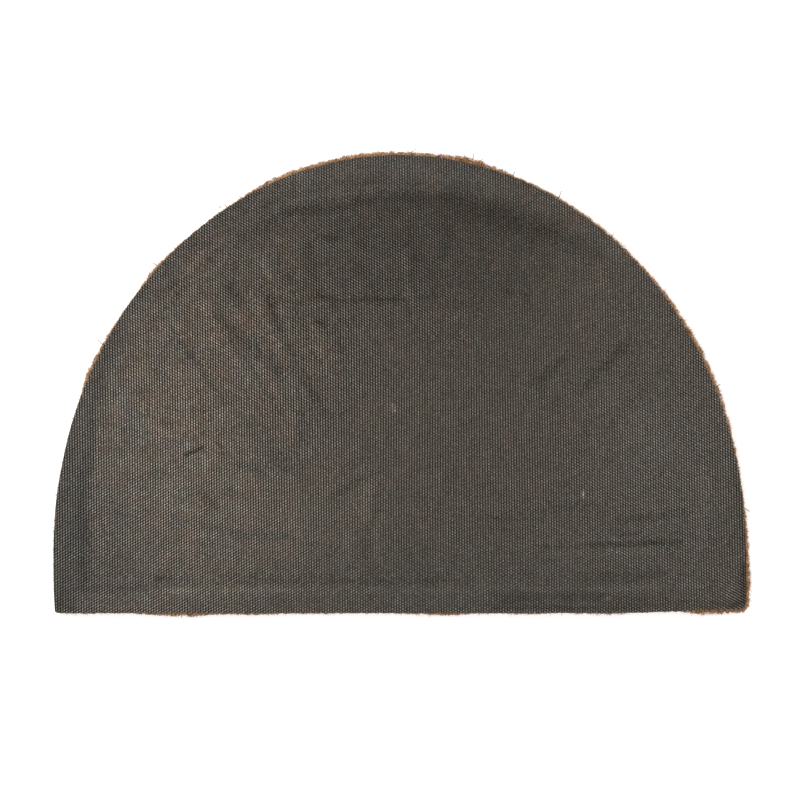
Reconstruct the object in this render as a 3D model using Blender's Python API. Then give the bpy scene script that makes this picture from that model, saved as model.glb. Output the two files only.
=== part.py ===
"""Half-round coir doormat lying face down: a coated canvas backing over a cut coir pile."""

import math
import random
from collections import namedtuple

import bmesh
import bpy
import numpy as np

# Driving dimensions, in metres. X runs along the straight edge, Y towards the arch and Z up.
WIDTH = 0.600
ARCH_RISE = 0.3433
SIDE_HEIGHT = 0.0537
LEFT_CORNER_RADIUS = 0.002
RIGHT_CORNER_RADIUS = 0.007
PILE_HEIGHT = 0.0137
PIECE_GAP = 0.0003
BACKING_THICKNESS = 0.002

DEPTH = ARCH_RISE + SIDE_HEIGHT
STRAIGHT_EDGE_Y = -DEPTH / 2
SPRING_Y = STRAIGHT_EDGE_Y + SIDE_HEIGHT
UNDER_Z = PILE_HEIGHT + PIECE_GAP
TOP_Z = UNDER_Z + BACKING_THICKNESS

# The cut edge, as points to a stretch, and how the knife and the years have left it.
STRAIGHT_STEPS = 58
SIDE_STEPS = 3
ARCH_STEPS = 96
CORNER_STEPS = 4
CORNER_SOFTENING = 0.15
KNIFE_WANDER = 0.0004
KNIFE_SEED = 11
NORMAL_REACH = 0.0016

Pull = namedtuple("Pull", "x y reach dx dy")
PULLS = (
    Pull(x=-0.300, y=-0.1985, reach=0.014, dx=0.0014, dy=0.0),
    Pull(x=0.290, y=-0.1985, reach=0.055, dx=0.0, dy=0.0035),
)

# The lower right corner curls up along a slanting fold. The rise is at the corner itself.
CURL_RISE = 0.0065
CURL_ALONG_STRAIGHT_EDGE = 0.080
CURL_UP_RIGHT_SIDE = 0.102
CURL_CUTS = 6
CURL_SNAP = 0.0004

# A trough runs inside the edge where the border was pressed down.
BORDER_RINGS = (0.024, 0.031, 0.038)
BORDER_TROUGH = 0.0006

# Ribs fan out from a hub near the straight edge. Bearings are in degrees, anticlockwise from +X.
HUB = (-0.0087, -0.1498)
RIB_WIDTH = 0.0070
Rib = namedtuple("Rib", "bearing near far height")
RIBS = (
    Rib(bearing=148, near=0.150, far=0.262, height=0.0004),
    Rib(bearing=141, near=0.120, far=0.270, height=0.0006),
    Rib(bearing=134, near=0.125, far=0.268, height=0.0005),
    Rib(bearing=127, near=0.165, far=0.262, height=0.0006),
    Rib(bearing=121, near=0.140, far=0.250, height=0.0004),
    Rib(bearing=116, near=0.150, far=0.246, height=0.0007),
    Rib(bearing=110, near=0.170, far=0.272, height=0.0004),
    Rib(bearing=104, near=0.182, far=0.224, height=0.0005),
    Rib(bearing=72, near=0.190, far=0.240, height=0.0003),
    Rib(bearing=50, near=0.195, far=0.222, height=0.0004),
    Rib(bearing=42, near=0.218, far=0.276, height=0.0006),
    Rib(bearing=33, near=0.200, far=0.262, height=0.0003),
)

# Straight creases, pressed in where the mat has been bent in use.
CREASE_WIDTH = 0.0055
Crease = namedtuple("Crease", "x0 y0 x1 y1 depth")
CREASES = (
    Crease(x0=-0.078, y0=0.0745, x1=0.000, y1=0.0745, depth=0.0007),
    Crease(x0=0.000, y0=0.0745, x1=0.036, y1=0.0815, depth=0.0005),
    Crease(x0=0.086, y0=0.0790, x1=0.113, y1=0.0790, depth=0.0004),
    Crease(x0=0.130, y0=-0.1420, x1=0.242, y1=-0.1377, depth=0.0009),
    Crease(x0=0.208, y0=-0.1160, x1=0.247, y1=-0.1108, depth=0.0006),
    Crease(x0=0.182, y0=-0.1680, x1=0.217, y1=-0.1636, depth=0.0005),
    Crease(x0=0.069, y0=-0.1177, x1=0.190, y1=-0.1004, depth=0.0004),
    Crease(x0=-0.199, y0=0.0814, x1=-0.139, y1=0.1247, depth=0.0005),
)
FIELD_CELL = 0.0088
CELL_SNAP = 0.0015

# The pile's tufts. Each lock leans a little to one side and opens towards its tip on the floor.
LOCKS = 272
LOCK_SEED = 5
LOCK_TUCK = 0.0010
LOCK_LEAN = 0.0009
LOCK_SHOULDER = 0.24
LOCK_SHIFT = 0.2
LOCK_UNEVEN = 0.55
PILE_CELL = 0.075
PILE_SNAP = 0.0009

Level = namedtuple("Level", "height stand groove")
LEVELS = (
    Level(height=PILE_HEIGHT, stand=0.0, groove=0.0006),
    Level(height=0.45 * PILE_HEIGHT, stand=0.6, groove=0.0016),
    Level(height=0.0, stand=1.0, groove=0.0026),
)

# How far the tuft tips stand out past the backing, by the distance along the cut edge,
# anticlockwise from the left corner.
Flare = namedtuple("Flare", "along out")
FLARES = (
    Flare(along=0.000, out=0.0003),
    Flare(along=0.065, out=0.0007),
    Flare(along=0.103, out=0.0021),
    Flare(along=0.180, out=0.0013),
    Flare(along=0.220, out=0.0001),
    Flare(along=0.300, out=0.0005),
    Flare(along=0.337, out=0.0015),
    Flare(along=0.380, out=0.0004),
    Flare(along=0.530, out=0.0003),
    Flare(along=0.560, out=0.0016),
    Flare(along=0.600, out=0.0012),
    Flare(along=0.660, out=0.0022),
    Flare(along=0.743, out=0.0012),
    Flare(along=0.802, out=0.0026),
    Flare(along=0.918, out=0.0022),
    Flare(along=1.029, out=0.0018),
    Flare(along=1.110, out=0.0029),
    Flare(along=1.240, out=0.0029),
    Flare(along=1.349, out=0.0010),
    Flare(along=1.405, out=0.0019),
    Flare(along=1.462, out=0.0012),
    Flare(along=1.521, out=0.0016),
    Flare(along=1.590, out=0.0002),
    Flare(along=1.720, out=0.0000),
)

# Canvas and cut pile are never quite flat: how far a point may lie inside its face.
UNEVEN = 0.00012
UNEVEN_SEED = 3

BACKING_COLOUR = (0.082, 0.074, 0.063, 1.0)
COIR_COLOUR = (0.342, 0.201, 0.119, 1.0)
BACKING_ROUGHNESS = 0.75
COIR_ROUGHNESS = 0.9
SMOOTH_ANGLE = math.radians(30)


def clear_scene():
    """Remove every object that the file starts with."""
    for old in list(bpy.data.objects):
        bpy.data.objects.remove(old, do_unlink=True)


def arc(centre, radii, start, end, steps):
    """Points on an arc of an ellipse, with its angles in degrees."""
    angles = [math.radians(start + (end - start) * step / steps) for step in range(steps + 1)]
    return [(centre[0] + radii[0] * math.cos(a), centre[1] + radii[1] * math.sin(a)) for a in angles]


def straight(start, end, steps):
    """Points inside a straight stretch, without its two ends."""
    shares = [step / steps for step in range(1, steps)]
    return [(start[0] + (end[0] - start[0]) * s, start[1] + (end[1] - start[1]) * s) for s in shares]


def pulled(point):
    """A point of the outline, moved by the pulls that reach it."""
    x, y = point
    for pull in PULLS:
        weight = math.exp(-((x - pull.x) ** 2 + (y - pull.y) ** 2) / pull.reach ** 2)
        x += pull.dx * weight
        y += pull.dy * weight
    return x, y


def outline(inset):
    """The half-round outline in plan, anticlockwise from its left corner, drawn in by inset."""
    half_width = WIDTH / 2 - inset
    edge_y = STRAIGHT_EDGE_Y + inset
    left_radius = LEFT_CORNER_RADIUS + CORNER_SOFTENING * inset
    right_radius = RIGHT_CORNER_RADIUS + CORNER_SOFTENING * inset
    left_centre = (left_radius - half_width, edge_y + left_radius)
    right_centre = (half_width - right_radius, edge_y + right_radius)
    right = arc(right_centre, (right_radius, right_radius), -90, 0, CORNER_STEPS)
    arch = arc((0.0, SPRING_Y), (half_width, ARCH_RISE - inset), 0, 180, ARCH_STEPS)
    left = arc(left_centre, (left_radius, left_radius), 180, 270, CORNER_STEPS)
    points = straight(left[-1], right[0], STRAIGHT_STEPS) + right
    points += straight(right[-1], arch[0], SIDE_STEPS) + arch
    points += straight(arch[-1], left[0], SIDE_STEPS) + left
    return [pulled(point) for point in points]


class EdgeLine:
    """The closed line of the cut edge, read by the distance along it."""

    def __init__(self, points):
        self.points = np.array(points[-1:] + points)
        steps = np.hypot(*np.diff(self.points, axis=0).T)
        self.along = np.concatenate(([0.0], np.cumsum(steps)))
        self.length = float(self.along[-1])

    def point(self, along):
        """The point at a distance along the line."""
        along = along % self.length
        return np.array([np.interp(along, self.along, self.points[:, axis]) for axis in (0, 1)])

    def place(self, along, out):
        """The point at a distance along the line, moved outwards."""
        tangent = self.point(along + NORMAL_REACH) - self.point(along - NORMAL_REACH)
        tangent /= np.hypot(*tangent)
        x, y = self.point(along)
        return x + out * tangent[1], y - out * tangent[0]


def loft(bm, rings):
    """A closed body through rings of equal counts. Returns the face that closes the last ring."""
    number = bm.verts.layers.int.new("number")
    cap = bm.faces.new([bm.verts.new(point) for point in rings[0]])
    for count, vert in enumerate(cap.verts):
        vert[number] = count
    for step, ring in enumerate(rings[1:]):
        grown = bmesh.ops.extrude_face_region(bm, geom=[cap])["geom"]
        if step:
            bmesh.ops.delete(bm, geom=[cap], context="FACES_ONLY")
        cap = next(item for item in grown if isinstance(item, bmesh.types.BMFace))
        for vert in cap.verts:
            vert.co = ring[vert[number]]
    return cap


def cut(bm, faces, point, normal, snap):
    """Cut the faces along a plane, without moving them."""
    edges = {edge for face in faces for edge in face.edges}
    verts = {vert for face in faces for vert in face.verts}
    geom = list(faces) + sorted(edges, key=lambda e: e.index) + sorted(verts, key=lambda v: v.index)
    bmesh.ops.bisect_plane(bm, geom=geom, dist=snap, plane_co=point, plane_no=normal)
    bm.verts.index_update()
    bm.edges.index_update()


def cut_grid(bm, zone, cell, snap):
    """Cut the faces of a zone into cells of about one size, along X and along Y."""
    for axis, reach in ((0, WIDTH / 2), (1, DEPTH / 2)):
        count = math.ceil(2 * reach / cell)
        for step in range(1, count):
            point = [0.0, 0.0, 0.0]
            normal = [0.0, 0.0, 0.0]
            point[axis] = -reach + 2 * reach * step / count
            normal[axis] = 1.0
            faces = [face for face in bm.faces if face[zone]]
            cut(bm, faces, point, normal, snap)


def curl_axis():
    """The direction in plan that the corner curls in, and the corner's distance from the fold."""
    across = (CURL_UP_RIGHT_SIDE, -CURL_ALONG_STRAIGHT_EDGE)
    size = math.hypot(*across)
    direction = (across[0] / size, across[1] / size)
    return direction, CURL_ALONG_STRAIGHT_EDGE * direction[0]


def past_fold(x, y):
    """How far a place in plan lies past the fold of the curled corner."""
    direction, reach = curl_axis()
    return reach + (x - WIDTH / 2) * direction[0] + (y - STRAIGHT_EDGE_Y) * direction[1]


def cut_folds(bm):
    """Cut a whole body along lines beside the fold, so that it can bend there."""
    direction, reach = curl_axis()
    for step in range(CURL_CUTS):
        back = reach * (1 - step / CURL_CUTS)
        point = (WIDTH / 2 - back * direction[0], STRAIGHT_EDGE_Y - back * direction[1], 0.0)
        cut(bm, list(bm.faces), point, (*direction, 0.0), CURL_SNAP)


def curl(bm):
    """Bend the corner up, with the pile standing square to the backing."""
    direction, reach = curl_axis()
    for vert in bm.verts:
        past = past_fold(vert.co.x, vert.co.y)
        if past <= 0:
            continue
        tilt = math.atan(2 * CURL_RISE * past / reach ** 2)
        below = TOP_Z - vert.co.z
        vert.co.x += below * math.sin(tilt) * direction[0]
        vert.co.y += below * math.sin(tilt) * direction[1]
        vert.co.z = TOP_Z + CURL_RISE * (past / reach) ** 2 - below * math.cos(tilt)


def roughen(bm, lower_z, upper_z):
    """Move each point of the lower and upper faces a little into the body."""
    rng = random.Random(UNEVEN_SEED)
    for vert in bm.verts:
        if abs(vert.co.z - lower_z) < UNEVEN:
            vert.co.z += rng.uniform(0.0, UNEVEN)
        elif abs(vert.co.z - upper_z) < UNEVEN:
            vert.co.z -= rng.uniform(0.0, UNEVEN)


def bump(distance, width):
    """A soft swelling, 1 at no distance and next to nothing at its width."""
    return math.exp(-(2 * distance / width) ** 2)


def rib_relief(x, y):
    """How high the fan of ribs stands at a place in plan."""
    dx, dy = x - HUB[0], y - HUB[1]
    total = 0.0
    for rib in RIBS:
        bearing = math.radians(rib.bearing)
        along = dx * math.cos(bearing) + dy * math.sin(bearing)
        aside = dy * math.cos(bearing) - dx * math.sin(bearing)
        past_end = max(rib.near - along, along - rib.far, 0.0)
        total += rib.height * bump(math.hypot(aside, past_end), 2 * RIB_WIDTH)
    return total


def crease_relief(x, y):
    """How deep the straight creases lie at a place in plan."""
    total = 0.0
    for crease in CREASES:
        dx, dy = crease.x1 - crease.x0, crease.y1 - crease.y0
        share = ((x - crease.x0) * dx + (y - crease.y0) * dy) / (dx * dx + dy * dy)
        share = min(max(share, 0.0), 1.0)
        aside = math.hypot(x - crease.x0 - share * dx, y - crease.y0 - share * dy)
        total += crease.depth * bump(aside, 2 * CREASE_WIDTH)
    return total


def knife_cut(points, wander):
    """The outline as the knife left it, a little in and out of true."""
    line = EdgeLine(points)
    rng = random.Random(KNIFE_SEED)
    return [line.place(along, rng.uniform(-wander, 0.0)) for along in line.along[1:]]


def make_backing(bm):
    """The sheet: plain below, with its border trough, ribs and creases on its upper face."""
    rim = knife_cut(outline(0.0), KNIFE_WANDER)
    rings = [[(x, y, UNDER_Z) for x, y in rim], [(x, y, TOP_Z) for x, y in rim]]
    for count, inset in enumerate(BORDER_RINGS):
        z = TOP_Z - BORDER_TROUGH * (count == 1)
        rings.append([(x, y, z) for x, y in outline(inset)])
    zone = bm.faces.layers.int.new("zone")
    field = loft(bm, rings)
    field[zone] = 1
    cut_grid(bm, zone, FIELD_CELL, CELL_SNAP)
    inner = {vert for face in bm.faces if face[zone] for vert in face.verts}
    for vert in inner:
        vert.co.z += rib_relief(vert.co.x, vert.co.y) - crease_relief(vert.co.x, vert.co.y)


def lock_rings():
    """The rim of the pile at each level: a valley and two shoulders for each lock."""
    line = EdgeLine(outline(0.0))
    rng = random.Random(LOCK_SEED)
    pitch = line.length / LOCKS
    starts = [pitch * (count + rng.uniform(-LOCK_SHIFT, LOCK_SHIFT)) for count in range(LOCKS)]
    ends = starts[1:] + [starts[0] + line.length]
    flares = np.interp([(start + pitch / 2) % line.length for start in starts], *zip(*FLARES))
    tips = [flare * rng.uniform(1 - LOCK_UNEVEN, 1 + LOCK_UNEVEN) for flare in flares]
    leans = [rng.uniform(-LOCK_LEAN, LOCK_LEAN) for _ in range(LOCKS)]
    rings = []
    for level in LEVELS:
        outs = [tip * level.stand - LOCK_TUCK * (1 - level.stand) for tip in tips]
        ring = []
        for count, (start, end) in enumerate(zip(starts, ends)):
            shoulder = LOCK_SHOULDER * (end - start)
            lean = leans[count] * level.stand
            valley = min(outs[count], outs[count - 1]) - level.groove
            ring.append((*line.place(start, valley), level.height))
            for along in (start + shoulder + lean, end - shoulder + lean):
                ring.append((*line.place(along, outs[count]), level.height))
        rings.append(ring)
    return rings


def make_pile(bm):
    """The slab of coir with its locks, flat where it stands on the floor."""
    loft(bm, lock_rings())
    zone = bm.faces.layers.int.new("zone")
    for face in bm.faces:
        face[zone] = 1
    cut_grid(bm, zone, PILE_CELL, PILE_SNAP)


def principled(name, colour, roughness):
    """A material with one Principled shader."""
    made = bpy.data.materials.new(name)
    made.use_nodes = True
    shader = made.node_tree.nodes["Principled BSDF"]
    shader.inputs["Base Color"].default_value = colour
    shader.inputs["Roughness"].default_value = roughness
    shader.inputs["Metallic"].default_value = 0.0
    made.diffuse_color = colour
    return made


def add_piece(name, make, levels, material, collection):
    """Build one piece between its two levels, bend its corner up and put it in the collection."""
    bm = bmesh.new()
    make(bm)
    cut_folds(bm)
    roughen(bm, *levels)
    curl(bm)
    bmesh.ops.triangulate(bm, faces=bm.faces, quad_method="BEAUTY", ngon_method="BEAUTY")
    bmesh.ops.recalc_face_normals(bm, faces=bm.faces)
    mesh = bpy.data.meshes.new(name)
    bm.to_mesh(mesh)
    bm.free()
    mesh.materials.append(material)
    mesh.shade_smooth()
    mesh.set_sharp_from_angle(angle=SMOOTH_ANGLE)
    piece = bpy.data.objects.new(name, mesh)
    collection.objects.link(piece)
    return piece


def stand_on_origin(pieces):
    """Put the middle of the mat's footprint over the origin, and its lowest point on the floor."""
    spots = [vert.co for piece in pieces for vert in piece.data.vertices]
    lows = [min(spot[axis] for spot in spots) for axis in range(3)]
    highs = [max(spot[axis] for spot in spots) for axis in range(3)]
    for piece in pieces:
        piece.location = (-(lows[0] + highs[0]) / 2, -(lows[1] + highs[1]) / 2, -lows[2])


def main():
    """Build the doormat in a collection of its own."""
    clear_scene()
    doormat = bpy.data.collections.new("Half_round_coir_doormat")
    bpy.context.scene.collection.children.link(doormat)
    canvas = principled("Coated_canvas", BACKING_COLOUR, BACKING_ROUGHNESS)
    coir = principled("Coir", COIR_COLOUR, COIR_ROUGHNESS)
    backing = add_piece("backing", make_backing, (UNDER_Z, TOP_Z), canvas, doormat)
    pile = add_piece("coir_pile", make_pile, (0.0, PILE_HEIGHT), coir, doormat)
    stand_on_origin([backing, pile])


main()
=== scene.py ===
"""Half-round coir doormat lying face down: woven coated canvas above, coir pile round and below."""

import math
import random
from collections import namedtuple

import bpy
import numpy as np
from bpy.props import FloatProperty, FloatVectorProperty, IntProperty, PointerProperty
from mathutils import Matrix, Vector
from mathutils.geometry import delaunay_2d_cdt


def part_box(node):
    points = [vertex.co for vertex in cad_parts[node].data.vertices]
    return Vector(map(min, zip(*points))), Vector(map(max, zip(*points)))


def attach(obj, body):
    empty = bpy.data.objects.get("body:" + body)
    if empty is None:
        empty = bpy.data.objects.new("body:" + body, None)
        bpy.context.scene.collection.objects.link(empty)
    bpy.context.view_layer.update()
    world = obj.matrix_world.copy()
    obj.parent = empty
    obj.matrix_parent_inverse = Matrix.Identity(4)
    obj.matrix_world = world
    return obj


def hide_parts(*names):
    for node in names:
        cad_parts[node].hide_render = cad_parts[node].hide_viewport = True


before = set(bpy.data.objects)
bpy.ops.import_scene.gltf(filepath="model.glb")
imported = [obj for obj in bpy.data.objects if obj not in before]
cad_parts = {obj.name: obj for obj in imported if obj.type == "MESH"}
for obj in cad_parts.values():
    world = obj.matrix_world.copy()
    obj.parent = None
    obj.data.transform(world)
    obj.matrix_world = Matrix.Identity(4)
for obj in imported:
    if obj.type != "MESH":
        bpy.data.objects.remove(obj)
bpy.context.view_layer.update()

bl_info = {
    "name": "Half-round coir doormat",
    "version": (1, 0, 0),
    "blender": (4, 5, 0),
    "location": "View3D > Sidebar > Doormat",
    "description": "Builds a half-round coir doormat that lies face down, with its woven back up",
    "category": "Object",
}


def table(kind, rows, degrees="", mm="", percent=""):
    """Rows by the names of their columns, whose units stand in this order. Gives metres and shares."""
    units = ((degrees, 1), (mm, 1000), (percent, 100))
    columns = [(name, unit) for names, unit in units for name in names.split()]
    row_kind = namedtuple(kind, [name for name, _ in columns])
    return [row_kind(*(value / unit for value, (_, unit) in zip(row, columns))) for row in rows]


# The construction's own sizes, in metres. The mat is laid out round its own middle, and its
# place is then read from the backing's box.
WIDTH = 0.600
ARCH_RISE = 0.3433
SIDE_HEIGHT = 0.0537
LEFT_CORNER_RADIUS = 0.002
RIGHT_CORNER_RADIUS = 0.007
DEPTH = ARCH_RISE + SIDE_HEIGHT
STRAIGHT_EDGE_Y = -DEPTH / 2
SPRING_Y = STRAIGHT_EDGE_Y + SIDE_HEIGHT
LOW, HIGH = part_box("backing")
PLACE = np.array([(LOW[axis] + HIGH[axis]) / 2 for axis in (0, 1)])
PILE_HEIGHT = 0.0137
UNDER_Z = PILE_HEIGHT + 0.0003
TOP_Z = UNDER_Z + 0.002

# The cut edge, as points to a stretch, how far the knife went in and out, how it is read, how it is
# filled, and how two of its corners are pulled. The guard keeps a division by 0 from the mat's middle.
STRAIGHT_STEPS = 58
SIDE_STEPS = 3
ARCH_STEPS = 96
CORNER_STEPS = 4
KNIFE_WANDER = 0.0004
KNIFE_SEED = 11
NORMAL_REACH = 0.0016
LINE_READINGS = 6000
SPREAD_PASSES = 3
LATTICE_MARGIN = 2
CAP_CELL = 0.024
CAP_MERGE = 1e-7
MIDDLE_GUARD = 1e-6
PULLS = table("Pull", mm="x y reach dx dy", rows=(
    (-300, -198.5, 14, 1.4, 0),
    (290, -198.5, 55, 0, 3.5),
))

# The lower right corner curls up along a slanting fold.
CURL_RISE = 0.0065
CURL_ALONG_STRAIGHT_EDGE = 0.080
CURL_UP_RIGHT_SIDE = 0.102

# The canvas. Its threads rise and fall a little, and its rim is pressed down. The warp strands
# drift sideways in long slow waves.
CANVAS_SEED = 21
THREAD_WANDER = 0.00005
CANVAS_RIM_DROP = 0.0001
Wander = namedtuple("Wander", "reach across along phase")
WANDERS = (
    Wander(reach=0.0006, across=0.060, along=0.110, phase=0.4),
    Wander(reach=0.0004, across=0.031, along=-0.070, phase=2.1),
)

# Ribs fan out from a hub near the straight edge. Bearings are in degrees, anticlockwise from +X.
HUB = (-0.0087, -0.1498)
BORDER_MIDDLE = 0.031
BORDER_WIDTH = 0.012
BORDER_TROUGH = 0.0006
RIB_WIDTH = 0.0070
RIBS = table("Rib", degrees="bearing", mm="near far height", rows=(
    (148, 150, 262, 0.4),
    (141, 120, 270, 0.6),
    (134, 125, 268, 0.5),
    (127, 165, 262, 0.6),
    (121, 140, 250, 0.4),
    (116, 150, 246, 0.7),
    (110, 170, 272, 0.4),
    (104, 182, 224, 0.5),
    (72, 190, 240, 0.3),
    (50, 195, 222, 0.4),
    (42, 218, 276, 0.6),
    (33, 200, 262, 0.3),
))
CREASE_WIDTH = 0.0055
CREASES = table("Crease", mm="x0 y0 x1 y1 depth", rows=(
    (-78, 74.5, 0, 74.5, 0.7),
    (0, 74.5, 36, 81.5, 0.5),
    (86, 79, 113, 79, 0.4),
    (130, -142, 242, -137.7, 0.9),
    (208, -116, 247, -110.8, 0.6),
    (182, -168, 217, -163.6, 0.5),
    (69, -117.7, 190, -100.4, 0.4),
    (-199, 81.4, -139, 124.7, 0.5),
))

# Soft patches on the canvas. Tone is a share of the light that comes off the threads, and
# warmth how brown the stain is. Strand is how strongly the warp strands show, cross how strongly
# the crossings do, slant which way the crossings lean, and wear how mottled it is.
CANVAS_LEVELS = {"tone": 1.045, "warmth": 0.03, "strand": 0.43, "cross": 0.37, "slant": 0.0, "wear": 0.32}
PATCHES = table("Patch", mm="x y across along", percent="tone warmth strand cross slant wear", rows=(
    # patches lighter on the left and darker at the top, with brown and grey stain and mottling, left to right
    (-203, -57, 113, 147, 20, 37, 0, 5, 0, 60),
    (-135, 30, 80, 90, -4, 26, 3, 0, 0, 0),
    (-95, -110, 70, 55, 5, 8, 0, 0, 0, 0),
    (-284, -100, 22, 80, -5, -35, 0, -4, 0, 0),
    (35, 138, 130, 82, -13, 2, -4, -2, 0, 50),
    (170, 110, 50, 60, 6, 0, -3, -2, 0, 0),
    (230, -70, 80, 110, 7, -15, -4, 2, -70, 0),
    (60, -175, 220, 40, 1, -30, -12, -3, 0, 0),
    # how the weave shows
    (-173, -20, 115, 115, 0, 0, 13, -2, 0, 0),
    (-220, -150, 120, 80, 0, 0, 2, 3, 150, 0),
    (-120, 90, 120, 100, 0, 10, 4, 3, -140, 20),
    (-17, 107, 130, 55, 0, 0, 0, 5, -30, 0),
    (20, 185, 140, 26, 5, -18, -4, -16, 0, 0),
    (110, 100, 110, 80, 0, 0, -7, -3, -10, 0),
    (45, -60, 110, 100, 0, 2, -2, -15, 0, 0),
    (-70, 40, 50, 60, 0, 0, 6, 0, 0, 0),
    (150, 40, 100, 70, 0, 0, -1, -11, 0, 0),
    (293, -190, 16, 22, 2, 0, -30, 14, -180, 0),
))
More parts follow.
